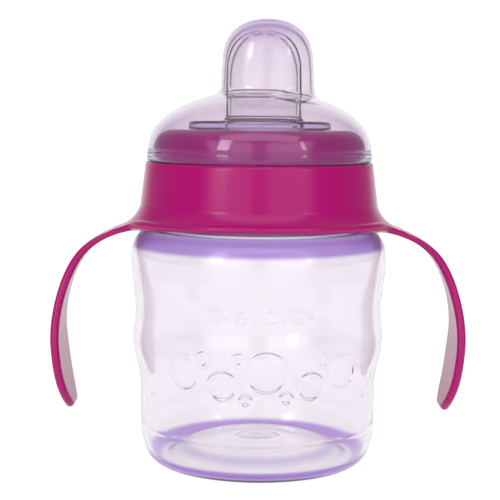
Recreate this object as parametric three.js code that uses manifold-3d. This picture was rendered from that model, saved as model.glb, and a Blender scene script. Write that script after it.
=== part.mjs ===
// A trainer cup with two handles: threaded cup, handle collar, screw ring, soft spout,
// non-spill valve and clear push-fit cap. Millimetres, +Z up, origin at the middle of the
// ring the cup stands on. X runs through the two handles.
import * as THREE from 'three';
import { mergeVertices } from 'three/addons/utils/BufferGeometryUtils.js';
import Module from 'manifold-3d';

// ---------------------------------------------------------------- driving dimensions
const ROUND = 36;                 // facets round each turned piece
const OVAL_ROUND = 28;            // facets round the spout and the cap's chimney
const GAP = 0.3;                  // clearance between pieces that rest on each other

const STAND_INNER_R = 26.8;       // flat ring that the cup stands on
const STAND_OUTER_R = 29.2;
const BASE_R = 34.3;              // straight lower wall
const BULGE_R = 36.45;            // lower bulge
const BULGE_Z = 36;
const WAIST_R = 35.85;            // finger waist between the bulges
const WAIST_Z = 44;
const BODY_R = 37.1;              // widest, under the shoulder
const BODY_Z = 59;
const SHOULDER_Z = 67.4;          // flat top of the shoulder
const SHOULDER_RUN = 4.5;         // how far the rounded shoulder reaches inwards
const WALL = 1.4;
const WALL_EASE = 0.36;           // how gently the wall turns between bulge and waist
const HEEL_CURVE = [31.4, 0.2, 34, 3.6];   // control points of the rounded base
const HEEL_Z = 11;                // the rounded base meets the straight wall
const STRAIGHT_Z = 22;            // the straight wall meets the lower bulge
const FLOOR_Z = 6.6;              // middle of the inside floor
const FLOOR_THICK = 2;
const DOME_R = 23;                // hollow under the floor
const DOME_EDGE_Z = 2.6;
const FLOOR_EDGE_R = 26;          // lowest ring of the inside floor
const FLOOR_EDGE_Z = 3.4;
const FLOOR_CURVE_R = 16;         // control radius of both faces of the floor
const INNER_HEEL_CURVE = [6, 30, 2.6];     // height, then control point of the inner corner
const INNER_STRAIGHT_Z = 12;
const NECK_ROOT_R = 28;           // the neck's bore runs into the shoulder here
const SHOULDER_ROUND = 0.6;
const MOUTH_BEVEL = 0.5;

const STEP_R = 30.2;              // step the handle collar sits on
const STEP_Z = 69.6;
const NECK_R = 27.6;
const NECK_BORE_R = 26.2;
const NECK_TOP_Z = 92;

const THREAD_R = 1.2;             // radius of the round thread ridge
const THREAD_LEAD = 9.2;          // rise in one turn
const THREAD_STARTS = 2;
const THREAD_STEPS_PER_TURN = 28;
const NECK_THREAD_Z = 78;         // where the neck's ridges start
const NECK_THREAD_TURNS = 0.75;
const RING_THREAD_TURNS = 0.5;
const NECK_THREAD_R = 27.8;       // helix radii
const RING_THREAD_R = 29.2;

const COLLAR_TOP_Z = 87;
const COLLAR_TOP_R = 32.8;
const COLLAR_LOW_Z = 74.3;        // where the cone starts to flare
const COLLAR_LOW_R = 34.4;
const COLLAR_WALL = 1.2;
const LIP_R = 37;                 // rim of the collar at the front and back
const LEDGE_R = 28.9;             // bore of the ledge that rests on the step
const LEDGE_THICK = 1.5;
const SLEEVE_BORE_R = 31.9;       // bore of the sleeve below its cone
const SLEEVE_LOW_Z = 60;          // rough length of the sleeve, before the arch trims it
const FLARE_START = [44, 66.6];
const FLARE_CURVE = [39.5, 68.2, 36.4, 69.6];   // control points of the flare
const SLEEVE_BEVEL = 0.4;

const HANDLE_HALF_SPAN = 59.7;    // outermost point of a handle
const HANDLE_TIP_Z = 14.6;
const PADDLE_HALF = 11.2;         // half width of the grip
const PADDLE_Z = 30;
const ARM_HALF = 5.2;             // half width at the narrowest
const ARM_ROOT = [6.2, 64];       // half width and height where the arm leaves the collar
const LIP_THICK = 1.4;
const GRIP_THICK = 2.5;
const GRIP_STARTS = 0.36;         // share of the arch's length where it starts to thicken
const GRIP_FULL = 0.62;
const CUT_HALF = 46;              // half the depth of a cutting block

const RING_BOTTOM_Z = STEP_Z + GAP + LEDGE_THICK + GAP;
const RING_TOP_Z = 96.3;
const RING_PLATE = 1.9;
const RING_OPENING_R = 19;
const RING_BORE_R = 29.4;
const RING_LOW_R = 31.6;
const RING_HIGH_R = 30.5;
const RING_SHOULDER = 5.2;        // height of the rounded shoulder
const RING_FLAT_R = 24.6;         // the flat top reaches out to here
const RING_PLATE_R = 27.6;

const SPOUT_X = 1.1;              // the spout stands slightly to one side
const SPOUT_HALF_X = 10.9;
const SPOUT_HALF_Y = 7.2;
const SPOUT_TOP_Z = 125.2;
const SPOUT_WALL = 1.5;
const SPOUT_TAPER_Z = 112;        // the spout's side starts to round in
const SPOUT_ROUND_Z = 120;
const SPOUT_ROUND_R = 7.4;
const SPOUT_FOOT_R = 13.3;
const SPOUT_FOOT_Z = 98;
const SPOUT_FOOT_EDGE = 1.2;
const SPOUT_FOOT_TOP_Z = 102.6;
const SLOT_HALF_X = 1.5;          // three drinking slots
const SLOT_HALF_Y = 0.7;
const SLOT_PITCH = 4.2;
const SLOT_DEPTH = 8;
const DISC_R = 20.6;
const DISC_TOP_Z = 98.8;
const FLANGE_R = 27.2;
const FLANGE_Z = NECK_TOP_Z + GAP;
const GROOVE_R = RING_OPENING_R - 0.4;
const DISC_ROUND = 1.2;

const VALVE_R = 9.2;              // plug that fits up into the spout
const VALVE_BRIM_R = 10.8;
const VALVE_BRIM_THICK = 1.3;
const VALVE_STEM_R = 6.2;
const VALVE_BORE_R = 5;
const VALVE_LIP = 1.4;            // wall of the plug at its top
const VALVE_TOP_Z = 96.5;
const VALVE_BOTTOM_Z = 86.5;

const CAP_X = 2.2;                // the cap's chimney leans the same way
const CAP_BOTTOM_Z = 87.4;
const CAP_R = 32.5;
const CAP_TOP_Z = 128;
const CAP_HALF_X = 13.2;
const CAP_HALF_Y = 9.6;
const CAP_WALL = 1.1;
const CAP_SIDE_Z = 91;            // the upright side meets the dome
const CAP_DRAFT = 0.2;
const DOME_CURVE = [99, 24.5, 103.2];      // height, then control point of the dome
const DOME_TOP = [12, 106.6];
const DOME_MIDDLE_Z = 106.9;
const CHIMNEY_FLARE = 0.9;
const CHIMNEY_FOOT_Z = 104;
const CHIMNEY_SIDE_Z = [108, 111, 115.4, 122.4];   // heights along the chimney's side
const CHIMNEY_TAPER = [0.3, 0.9];
const CHIMNEY_ROUND_R = 8.2;
const TOP_WALL_SCALE = 1.6;       // the chimney's top is thicker than its side

// ---------------------------------------------------------------- solids
const wasm = await Module();
wasm.setup();

function toSolid(geometry) {
  const bare = geometry.index ? geometry.toNonIndexed() : geometry.clone();
  bare.deleteAttribute('normal');
  bare.deleteAttribute('uv');
  const merged = mergeVertices(bare, 1e-4);
  const corners = merged.index.array;
  const kept = [];
  for (let i = 0; i < corners.length; i += 3) {
    const [a, b, c] = [corners[i], corners[i + 1], corners[i + 2]];
    if (a !== b && b !== c && c !== a) kept.push(a, b, c);
  }
  return new wasm.Manifold(new wasm.Mesh({
    numProp: 3,
    vertProperties: new Float32Array(merged.attributes.position.array),
    triVerts: new Uint32Array(kept),
  }));
}

function toGeometry(solid) {
  const mesh = solid.getMesh();
  const geometry = new THREE.BufferGeometry();
  geometry.setAttribute('position', new THREE.BufferAttribute(mesh.vertProperties, 3));
  geometry.setIndex(new THREE.BufferAttribute(mesh.triVerts, 1));
  geometry.computeVertexNormals();
  return geometry;
}

function outline(draw, divisions) {
  const path = new THREE.Path();
  draw(path);
  return path.getPoints(divisions);
}

// Turns an outline of (radius, height) about +Z. stretchY below 1 makes the piece oval.
function turned(points, stretchY = 1, facets = ROUND) {
  const geometry = new THREE.LatheGeometry(points, facets);
  geometry.rotateX(Math.PI / 2);
  geometry.scale(1, stretchY, 1);
  return toSolid(geometry);
}

// Extrudes an (x, z) outline along Y, from -half to +half.
function alongY(points, half) {
  const geometry = new THREE.ExtrudeGeometry(new THREE.Shape(points), {
    depth: 2 * half, bevelEnabled: false, steps: 1,
  });
  geometry.rotateX(Math.PI / 2);
  geometry.translate(0, half, 0);
  return toSolid(geometry);
}

// Extrudes an (x, y) outline along Z, between two heights.
function alongZ(points, low, high) {
  const geometry = new THREE.ExtrudeGeometry(new THREE.Shape(points), {
    depth: high - low, bevelEnabled: false, steps: 1,
  });
  geometry.translate(0, 0, low);
  return toSolid(geometry);
}

// Extrudes a (y, z) outline along X, from -half to +half.
function alongX(points, half) {
  const geometry = new THREE.ExtrudeGeometry(new THREE.Shape(points), {
    depth: 2 * half, bevelEnabled: false, steps: 1,
  });
  geometry.translate(0, 0, -half);
  geometry.rotateY(Math.PI / 2);
  geometry.rotateX(Math.PI / 2);
  return toSolid(geometry);
}

class Helix extends THREE.Curve {
  constructor(radius, startZ, startTurn, turns) {
    super();
    Object.assign(this, { radius, startZ, startTurn, turns });
  }

  getPoint(t, target = new THREE.Vector3()) {
    const angle = 2 * Math.PI * (this.startTurn + t * this.turns);
    return target.set(
      this.radius * Math.cos(angle),
      this.radius * Math.sin(angle),
      this.startZ + t * this.turns * THREAD_LEAD,
    );
  }
}

function threadRidge(radius, startZ, startTurn, turns) {
  const section = new THREE.Shape();
  section.absarc(0, 0, THREAD_R, 0, 2 * Math.PI);
  const geometry = new THREE.ExtrudeGeometry(section, {
    extrudePath: new Helix(radius, startZ, startTurn, turns),
    steps: Math.round(turns * THREAD_STEPS_PER_TURN),
    curveSegments: 4,
  });
  return toSolid(geometry);
}

function withThread(solid, radius, startZ, turns) {
  let result = solid;
  for (let start = 0; start < THREAD_STARTS; start += 1) {
    result = result.add(threadRidge(radius, startZ, start / THREAD_STARTS, turns));
  }
  return result;
}

function named(name, solid, look) {
  const mesh = new THREE.Mesh(toGeometry(solid), new THREE.MeshStandardMaterial(look));
  mesh.name = name;
  return mesh;
}

// ---------------------------------------------------------------- cup
// Carries a wall from (r0, z0) to (r1, z1), upright at both ends.
function wallTo(p, r0, z0, r1, z1) {
  const reach = (z1 - z0) * WALL_EASE;
  p.bezierCurveTo(r0, z0 + reach, r1, z1 - reach, r1, z1);
}

function cupProfile() {
  const inner = {
    base: BASE_R - WALL, bulge: BULGE_R - WALL, waist: WAIST_R - WALL, body: BODY_R - WALL,
  };
  const roofZ = SHOULDER_Z - WALL;
  const shoulderR = BODY_R - SHOULDER_RUN;
  const [heelZ, ...heelControl] = INNER_HEEL_CURVE;
  return outline((p) => {
    p.moveTo(0, FLOOR_Z - FLOOR_THICK);
    p.quadraticCurveTo(FLOOR_CURVE_R, FLOOR_Z - FLOOR_THICK, DOME_R, DOME_EDGE_Z);
    p.lineTo(STAND_INNER_R, 0);
    p.lineTo(STAND_OUTER_R, 0);
    p.bezierCurveTo(...HEEL_CURVE, BASE_R, HEEL_Z);
    p.lineTo(BASE_R, STRAIGHT_Z);
    wallTo(p, BASE_R, STRAIGHT_Z, BULGE_R, BULGE_Z);
    wallTo(p, BULGE_R, BULGE_Z, WAIST_R, WAIST_Z);
    wallTo(p, WAIST_R, WAIST_Z, BODY_R, BODY_Z);
    p.absellipse(shoulderR, BODY_Z, SHOULDER_RUN, SHOULDER_Z - BODY_Z, 0, Math.PI / 2);
    p.lineTo(STEP_R, SHOULDER_Z);
    p.lineTo(STEP_R, STEP_Z);
    p.lineTo(NECK_R, STEP_Z);
    p.lineTo(NECK_R, NECK_TOP_Z - MOUTH_BEVEL);
    p.lineTo(NECK_R - MOUTH_BEVEL, NECK_TOP_Z);
    p.lineTo(NECK_BORE_R, NECK_TOP_Z);
    p.lineTo(NECK_BORE_R, SHOULDER_Z);
    p.quadraticCurveTo(NECK_BORE_R, roofZ, NECK_ROOT_R, roofZ);
    p.lineTo(shoulderR - SHOULDER_ROUND, roofZ);
    p.quadraticCurveTo(inner.body, roofZ, inner.body, BODY_Z);
    wallTo(p, inner.body, BODY_Z, inner.waist, WAIST_Z);
    wallTo(p, inner.waist, WAIST_Z, inner.bulge, BULGE_Z);
    wallTo(p, inner.bulge, BULGE_Z, inner.base, STRAIGHT_Z);
    p.lineTo(inner.base, INNER_STRAIGHT_Z);
    p.bezierCurveTo(inner.base, heelZ, ...heelControl, FLOOR_EDGE_R, FLOOR_EDGE_Z);
    p.quadraticCurveTo(FLOOR_CURVE_R, FLOOR_Z, 0, FLOOR_Z);
  }, 3);
}

function cupBody() {
  return withThread(turned(cupProfile()), NECK_THREAD_R, NECK_THREAD_Z, NECK_THREAD_TURNS);
}

// ---------------------------------------------------------------- handle collar
// Outer edge of the arch that runs from one handle tip over the collar to the other.
const ARCH = [
  [0, 70.8], [20, 70.5], [31, 69.7], [39.5, 68.1], [46.5, 65.4], [52.2, 61],
  [56.2, 54.5], [58.7, 46.5], [HANDLE_HALF_SPAN, 38.5], [59.2, 30.5], [57.9, 22.5],
  [55.6, HANDLE_TIP_Z],
];
const ARCH_STEPS = 26;

// Thickness of the moulding along the arch: a thin lip that grows into a solid grip.
function archThickness(along) {
  const grown = THREE.MathUtils.smoothstep(along, GRIP_STARTS, GRIP_FULL);
  return LIP_THICK + (GRIP_THICK - LIP_THICK) * grown;
}

function archBand() {
  const curve = new THREE.SplineCurve(ARCH.map(([x, z]) => new THREE.Vector2(x, z)));
  const outer = [];
  const inner = [];
  for (let i = 0; i <= ARCH_STEPS; i += 1) {
    const t = i / ARCH_STEPS;
    const point = curve.getPointAt(t);
    const heading = curve.getTangentAt(t);
    const depth = archThickness(t);
    outer.push(point);
    inner.push(new THREE.Vector2(point.x + heading.y * depth, point.y - heading.x * depth));
  }
  inner[0].x = 0;
  const mirror = (list) => list.slice(1).map((p) => new THREE.Vector2(-p.x, p.y)).reverse();
  const points = [...mirror(outer), ...outer, ...inner.slice().reverse(), ...mirror(inner).reverse()];
  return { solid: alongY(points, CUT_HALF), underside: [...mirror(inner), ...inner] };
}

// Seen from above: the round lip running out into the two arms. The last two points only
// stand clear of the arm, which the side outline trims there.
const ARM_PLAN = [[34.6, 13.2], [36.2, 10.6], [38.6, 8.9], [42, 7.6], [48, 6.2], [52, 20], [64, 20]];
const LIP_END = [34.4, 13.6];
const LIP_STEPS = 10;

function planOutline() {
  const quarter = [];
  const first = Math.atan2(LIP_END[1], LIP_END[0]);
  for (let i = 0; i <= LIP_STEPS; i += 1) {
    const angle = Math.PI / 2 + (first - Math.PI / 2) * (i / LIP_STEPS);
    quarter.push([LIP_R * Math.cos(angle), LIP_R * Math.sin(angle)]);
  }
  const side = [...quarter, ...ARM_PLAN];
  const back = side.map(([x, y]) => new THREE.Vector2(x, y));
  const rightFront = side.slice().reverse().map(([x, y]) => new THREE.Vector2(x, -y));
  const leftFront = side.slice(1).map(([x, y]) => new THREE.Vector2(-x, -y));
  const leftBack = side.slice(1).reverse().map(([x, y]) => new THREE.Vector2(-x, y));
  return [...back, ...rightFront, ...leftFront, ...leftBack].reverse();
}

// Seen from the side: the arm widens into a paddle with a round tip. The first points only
// stand clear of the collar, which the plan outline trims.
const CLEAR_OF_COLLAR = [[45, 90], [45, 67], [9, 66.6]];

function sideOutline() {
  const [rootHalf, rootZ] = ARM_ROOT;
  const arm = outline((p) => {
    p.moveTo(rootHalf, rootZ);
    p.bezierCurveTo(ARM_HALF, rootZ - 4, ARM_HALF, rootZ - 6, ARM_HALF + 0.2, rootZ - 9);
    p.bezierCurveTo(rootHalf, PADDLE_Z + 16, PADDLE_HALF, PADDLE_Z + 10, PADDLE_HALF, PADDLE_Z);
    p.bezierCurveTo(PADDLE_HALF, PADDLE_Z - 8, 7.5, HANDLE_TIP_Z, 0, HANDLE_TIP_Z - 0.2);
  }, 8);
  const clear = [...CLEAR_OF_COLLAR, ARM_ROOT].map(([y, z]) => new THREE.Vector2(y, z));
  const half = [...clear, ...arm.slice(1)];
  const other = half.slice(0, -1).reverse().map((p) => new THREE.Vector2(-p.x, p.y));
  return [...half, ...other].reverse();
}

function collarProfile() {
  const wallAt = (r) => r - COLLAR_WALL;
  const ledgeTopZ = STEP_Z + GAP + LEDGE_THICK;
  return outline((p) => {
    p.moveTo(SLEEVE_BORE_R, SLEEVE_LOW_Z);
    p.lineTo(FLARE_START[0], SLEEVE_LOW_Z);
    p.lineTo(...FLARE_START);
    p.bezierCurveTo(...FLARE_CURVE, COLLAR_LOW_R, COLLAR_LOW_Z);
    p.lineTo(COLLAR_TOP_R, COLLAR_TOP_Z - SLEEVE_BEVEL);
    p.lineTo(COLLAR_TOP_R - SLEEVE_BEVEL, COLLAR_TOP_Z);
    p.lineTo(wallAt(COLLAR_TOP_R), COLLAR_TOP_Z);
    p.lineTo(wallAt(COLLAR_LOW_R), COLLAR_LOW_Z);
    p.lineTo(wallAt(COLLAR_LOW_R), ledgeTopZ);
    p.lineTo(SLEEVE_BORE_R, ledgeTopZ);
    p.lineTo(SLEEVE_BORE_R, SLEEVE_LOW_Z);
  }, 4);
}

// A turned block from radius 0 or more out to r, between two heights.
function turnedBlock(innerR, r, low, high, facets = ROUND) {
  const corners = [[innerR, low], [r, low], [r, high], [innerR, high]];
  if (innerR > 0) corners.push([innerR, low]);
  return turned(corners.map(([x, z]) => new THREE.Vector2(x, z)), 1, facets);
}

function handleCollar() {
  const arch = archBand();
  const plan = alongZ(planOutline(), 0, COLLAR_TOP_Z + 1);
  const side = alongX(sideOutline(), HANDLE_HALF_SPAN + 1);
  const low = [new THREE.Vector2(-HANDLE_HALF_SPAN - 1, 0), ...arch.underside,
    new THREE.Vector2(HANDLE_HALF_SPAN + 1, 0)];
  const underArch = alongY(low.reverse(), CUT_HALF);
  const bore = turnedBlock(0, SLEEVE_BORE_R, SLEEVE_LOW_Z, COLLAR_LOW_Z);
  const ledgeZ = STEP_Z + GAP;
  const ledge = turnedBlock(LEDGE_R, SLEEVE_BORE_R + 0.5, ledgeZ, ledgeZ + LEDGE_THICK);
  const wings = arch.solid.intersect(plan).intersect(side).subtract(bore);
  const sleeve = turned(collarProfile()).intersect(plan).subtract(underArch);
  return sleeve.add(wings).add(ledge);
}

// ---------------------------------------------------------------- screw ring
function ringProfile() {
  const shoulderZ = RING_TOP_Z - RING_SHOULDER;
  const plateZ = RING_TOP_Z - RING_PLATE;
  return outline((p) => {
    p.moveTo(RING_BORE_R, RING_BOTTOM_Z);
    p.lineTo(RING_LOW_R, RING_BOTTOM_Z);
    p.lineTo(RING_HIGH_R, shoulderZ);
    p.bezierCurveTo(
      RING_HIGH_R - 0.3, RING_TOP_Z - 1.6, RING_HIGH_R - 3, RING_TOP_Z, RING_FLAT_R, RING_TOP_Z,
    );
    p.lineTo(RING_OPENING_R, RING_TOP_Z);
    p.lineTo(RING_OPENING_R, plateZ);
    p.lineTo(RING_PLATE_R, plateZ);
    p.quadraticCurveTo(RING_BORE_R, plateZ, RING_BORE_R, shoulderZ);
    p.lineTo(RING_BORE_R, RING_BOTTOM_Z);
  }, 3);
}

function screwRing() {
  const startZ = NECK_THREAD_Z - THREAD_LEAD / THREAD_STARTS / 2;
  return withThread(turned(ringProfile()), RING_THREAD_R, startZ, RING_THREAD_TURNS);
}

// ---------------------------------------------------------------- spout
function spoutHorn(shrink, bottomZ) {
  const a = SPOUT_HALF_X - shrink;
  const b = SPOUT_HALF_Y - shrink;
  const top = SPOUT_TOP_Z - shrink;
  const points = outline((p) => {
    p.moveTo(0, bottomZ);
    p.lineTo(a + 0.1, bottomZ);
    p.lineTo(a, SPOUT_TAPER_Z);
    p.bezierCurveTo(a - 0.1, SPOUT_ROUND_Z, SPOUT_ROUND_R - shrink * 0.6, top, 0, top);
  }, 6);
  return turned(points, b / a, OVAL_ROUND).translate(SPOUT_X, 0, 0);
}

function spoutFoot() {
  const edgeZ = SPOUT_FOOT_Z + SPOUT_FOOT_EDGE;
  const points = outline((p) => {
    p.moveTo(0, SPOUT_FOOT_Z);
    p.lineTo(SPOUT_FOOT_R, SPOUT_FOOT_Z);
    p.lineTo(SPOUT_FOOT_R, edgeZ);
    p.quadraticCurveTo(SPOUT_HALF_X + 0.3, edgeZ + 0.8, SPOUT_HALF_X, SPOUT_FOOT_TOP_Z);
    p.lineTo(0, SPOUT_FOOT_TOP_Z);
  }, 3);
  return turned(points, SPOUT_HALF_Y / SPOUT_HALF_X, OVAL_ROUND).translate(SPOUT_X, 0, 0);
}

function spoutDisc() {
  const underPlateZ = RING_TOP_Z - RING_PLATE - GAP;
  const overPlateZ = RING_TOP_Z + GAP;
  const points = outline((p) => {
    p.moveTo(0, FLANGE_Z);
    p.lineTo(FLANGE_R, FLANGE_Z);
    p.lineTo(FLANGE_R, underPlateZ);
    p.lineTo(GROOVE_R, underPlateZ);
    p.lineTo(GROOVE_R, overPlateZ);
    p.lineTo(DISC_R - 0.5, overPlateZ);
    p.quadraticCurveTo(DISC_R, overPlateZ, DISC_R, overPlateZ + 0.7);
    p.quadraticCurveTo(DISC_R, DISC_TOP_Z, DISC_R - DISC_ROUND, DISC_TOP_Z);
    p.lineTo(0, DISC_TOP_Z);
  }, 3);
  return turned(points);
}

function slot(x) {
  const oval = new THREE.Shape();
  oval.absellipse(x, 0, SLOT_HALF_X, SLOT_HALF_Y, 0, 2 * Math.PI);
  return alongZ(oval.getPoints(4).slice(0, -1), SPOUT_TOP_Z - SLOT_DEPTH, SPOUT_TOP_Z + 1);
}

function spout() {
  const socket = turnedBlock(0, VALVE_R + GAP, FLANGE_Z - 1, VALVE_TOP_Z + GAP, OVAL_ROUND);
  let result = spoutDisc().add(spoutFoot()).add(spoutHorn(0, SPOUT_FOOT_Z));
  result = result.subtract(spoutHorn(SPOUT_WALL, FLANGE_Z)).subtract(socket);
  for (const x of [SPOUT_X - SLOT_PITCH, SPOUT_X, SPOUT_X + SLOT_PITCH]) {
    result = result.subtract(slot(x));
  }
  return result;
}

// ---------------------------------------------------------------- valve
function valve() {
  const brimTopZ = FLANGE_Z - GAP;
  const brimLowZ = brimTopZ - VALVE_BRIM_THICK;
  const points = outline((p) => {
    p.moveTo(0, VALVE_BOTTOM_Z);
    p.quadraticCurveTo(4.6, VALVE_BOTTOM_Z + 0.2, VALVE_STEM_R, VALVE_BOTTOM_Z + 2);
    p.lineTo(VALVE_STEM_R, brimLowZ);
    p.lineTo(VALVE_BRIM_R, brimLowZ);
    p.lineTo(VALVE_BRIM_R, brimTopZ);
    p.lineTo(VALVE_R, brimTopZ);
    p.lineTo(VALVE_R, VALVE_TOP_Z);
    p.lineTo(VALVE_R - VALVE_LIP, VALVE_TOP_Z);
    p.lineTo(VALVE_BORE_R, FLANGE_Z);
    p.lineTo(VALVE_BORE_R, VALVE_BOTTOM_Z + 2.4);
    p.quadraticCurveTo(3.6, VALVE_BOTTOM_Z + 1.2, 0, VALVE_BOTTOM_Z + 1);
  }, 2);
  return turned(points, 1, OVAL_ROUND);
}

// ---------------------------------------------------------------- cap
function capDome(shrink, bottomZ) {
  const r = CAP_R - shrink;
  const [sideZ, bendR, bendZ] = DOME_CURVE;
  const [topR, topZ] = DOME_TOP;
  const points = outline((p) => {
    p.moveTo(0, bottomZ);
    p.lineTo(r, bottomZ);
    p.lineTo(r - CAP_DRAFT, CAP_SIDE_Z);
    p.bezierCurveTo(r - 1.2, sideZ - shrink, bendR, bendZ - shrink, topR, topZ - shrink);
    p.lineTo(0, DOME_MIDDLE_Z - shrink);
  }, 7);
  return turned(points);
}

function capChimney(shrink, bottomZ) {
  const a = CAP_HALF_X - shrink;
  const b = CAP_HALF_Y - shrink;
  const top = CAP_TOP_Z - shrink * TOP_WALL_SCALE;
  const [flareZ, sideZ, roundZ, bendZ] = CHIMNEY_SIDE_Z;
  const points = outline((p) => {
    p.moveTo(0, bottomZ);
    p.lineTo(a + CHIMNEY_FLARE, bottomZ);
    p.quadraticCurveTo(a, flareZ, a, sideZ);
    p.lineTo(a - CHIMNEY_TAPER[0], roundZ);
    p.bezierCurveTo(a - CHIMNEY_TAPER[1], bendZ, CHIMNEY_ROUND_R - shrink * 0.6, top, 0, top);
  }, 6);
  return turned(points, b / a, OVAL_ROUND).translate(CAP_X, 0, 0);
}

function cap() {
  const outside = capDome(0, CAP_BOTTOM_Z).add(capChimney(0, CHIMNEY_FOOT_Z));
  const inside = capDome(CAP_WALL, CAP_BOTTOM_Z - 1).add(capChimney(CAP_WALL, CHIMNEY_FOOT_Z - 2));
  return outside.subtract(inside);
}

// ---------------------------------------------------------------- assembly
const MAGENTA = { color: 0xa00064, roughness: 0.3, metalness: 0 };

const cupGroup = new THREE.Group();
cupGroup.add(named('cup_body', cupBody(), {
  color: 0xd8c8ea, roughness: 0.1, metalness: 0, transparent: true, opacity: 0.45,
}));

const lidGroup = new THREE.Group();
lidGroup.add(
  named('screw_ring', screwRing(), MAGENTA),
  named('spout', spout(), {
    color: 0xe6e0ea, roughness: 0.2, metalness: 0, transparent: true, opacity: 0.5,
  }),
  named('valve', valve(), { color: 0xf4f2f4, roughness: 0.5, metalness: 0 }),
  named('cap', cap(), {
    color: 0xcdb8ee, roughness: 0.08, metalness: 0, transparent: true, opacity: 0.4,
  }),
);

const trainerCup = new THREE.Group();
trainerCup.add(cupGroup, named('handle_collar', handleCollar(), MAGENTA), lidGroup);

export default trainerCup;
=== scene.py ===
"""A clear trainer cup with its collar, ring, spout, valve and cap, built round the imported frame."""
import math

import bmesh
import bpy
import numpy as np
from mathutils import Euler, Matrix, Vector


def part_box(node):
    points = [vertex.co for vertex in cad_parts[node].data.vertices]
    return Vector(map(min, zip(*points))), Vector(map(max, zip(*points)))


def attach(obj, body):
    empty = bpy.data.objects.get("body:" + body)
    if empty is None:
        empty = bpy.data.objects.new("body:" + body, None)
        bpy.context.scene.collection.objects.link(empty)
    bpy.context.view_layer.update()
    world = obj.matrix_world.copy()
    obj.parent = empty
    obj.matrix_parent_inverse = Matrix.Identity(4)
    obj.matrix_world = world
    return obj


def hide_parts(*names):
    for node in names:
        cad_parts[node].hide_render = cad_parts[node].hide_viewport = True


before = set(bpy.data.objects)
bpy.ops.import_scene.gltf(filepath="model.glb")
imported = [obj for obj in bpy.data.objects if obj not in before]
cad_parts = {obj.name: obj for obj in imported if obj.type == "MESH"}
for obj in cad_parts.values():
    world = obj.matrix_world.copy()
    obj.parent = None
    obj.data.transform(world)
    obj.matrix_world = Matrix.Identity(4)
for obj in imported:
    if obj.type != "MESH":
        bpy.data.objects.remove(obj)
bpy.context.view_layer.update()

MM = 0.001


# ------------ sizes in millimetres, the outer ones from the frame
def node_box(node):
    """Lowest and highest corners of a CAD node."""
    low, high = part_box(node)
    return [c / MM for c in low], [c / MM for c in high]


CUP_HIGH = node_box("cup_body")[1]
COLLAR_LOW, COLLAR_HIGH = node_box("handle_collar")
RING_LOW, RING_HIGH = node_box("screw_ring")
SPOUT_LOW, SPOUT_HIGH = node_box("spout")
VALVE_LOW, VALVE_HIGH = node_box("valve")
CAP_LOW, CAP_HIGH = node_box("cap")

# cup
BODY_R = CUP_HIGH[0]
BODY_Z = 59.0
NECK_TOP_Z = CUP_HIGH[2]
BASE_R = 34.3
BULGE_R = 36.45
BULGE_Z = 36.0
WAIST_R = 35.85
WAIST_Z = 44.0
SHOULDER_Z = 67.4
SHOULDER_RUN = 4.5
STEP_R = 30.2
STEP_Z = 69.6
NECK_R = 27.6
NECK_BORE_R = 26.2
WALL = 1.4
WALL_EASE = 0.36
ROOF_WALL = 0.45
ROOF_SHIFT = 1.8
PIP_R = 4.6
PIP_FOOT_R = 7.0
PIP_RISE = 0.8
PIP_EDGE = 0.45
DOME_R = 19.5
DOME_Z = 3.5
HEEL_Z = 11
WALL_FOOT_Z = 12
SEAM = 0.06
STRAIGHT_Z = 22.0
STAND_INNER_R = 26.8
STAND_OUTER_R = 29.2
UNDERSIDE_Z = 5.0
STEP_WALL = 0.8

# thread
THREAD_R = 1.2
THREAD_LEAD = 9.2
THREAD_STARTS = 2
NECK_THREAD_Z = 78.0
NECK_THREAD_TURNS = 0.75
NECK_THREAD_R = 27.8
RING_THREAD_Z = NECK_THREAD_Z - THREAD_LEAD / THREAD_STARTS / 2
RING_THREAD_TURNS = 0.5
RING_THREAD_R = 29.2

# handle collar
COLLAR_TOP_Z = COLLAR_HIGH[2]
COLLAR_TOP_R = 32.8
COLLAR_LOW_Z = 74.3
COLLAR_LOW_R = 34.4
COLLAR_WALL = 1.2
LIP_R = COLLAR_HIGH[1]
TIP_Z = COLLAR_LOW[2]
LEDGE_R = 28.9
LEDGE_Z = 69.9
LEDGE_TOP_Z = 71.4

# ring
RING_TOP_Z = RING_HIGH[2]
RING_BOTTOM_Z = RING_LOW[2]
RING_LOW_R = RING_HIGH[0]
RING_HIGH_R = 30.5
RING_PLATE = 1.9
RING_SHOULDER = 5.2
RING_FLAT_R = 24.6
RING_OPENING_R = 19.0
RING_BORE_R = 29.4

# spout
SPOUT_X = 1.1
SPOUT_HALF_X = 10.9
SPOUT_HALF_Y = 7.2
SPOUT_TOP_Z = SPOUT_HIGH[2]
SPOUT_WALL = 1.5
SPOUT_FILLET = 2.2
SLOT_HALF_X = 1.5
SLOT_HALF_Y = 0.7
SLOT_PITCH = 4.2
SLOT_DEPTH = 8.0
SHARP_ANGLE = math.radians(50)
DISC_R = 20.6
DISC_FLAT_R = 18.6
DISC_ROUND = 1.1
DISC_TOP_Z = 98.8
FLANGE_R = SPOUT_HIGH[0]
FLANGE_Z = SPOUT_LOW[2]
VALVE_R = 9.2
VALVE_RIM = 1.6
VALVE_CUP_R = 6.2
VALVE_BORE_R = 5
GAP = 0.3
VALVE_TOP_Z = VALVE_HIGH[2]
VALVE_BOTTOM_Z = VALVE_LOW[2]

# cap
CAP_X = 2.2
CAP_TOP_Z = CAP_HIGH[2]
CAP_BOTTOM_Z = CAP_LOW[2]
CAP_R = CAP_HIGH[0]
CAP_HALF_X = 13.1
CAP_HALF_Y = 9.6
CAP_WALL = 1.1
CAP_CHIMNEY_FLARE = 0.35
CAP_FILLET = 2.0
CAP_SIDE_Z = 91
CAP_FLAT_R = 12
CAP_FLAT_Z = 106.6
CAP_CROWN_Z = 106.9
CAP_BEAD = 0.45
CAP_PLATE_R = 25.5


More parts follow.
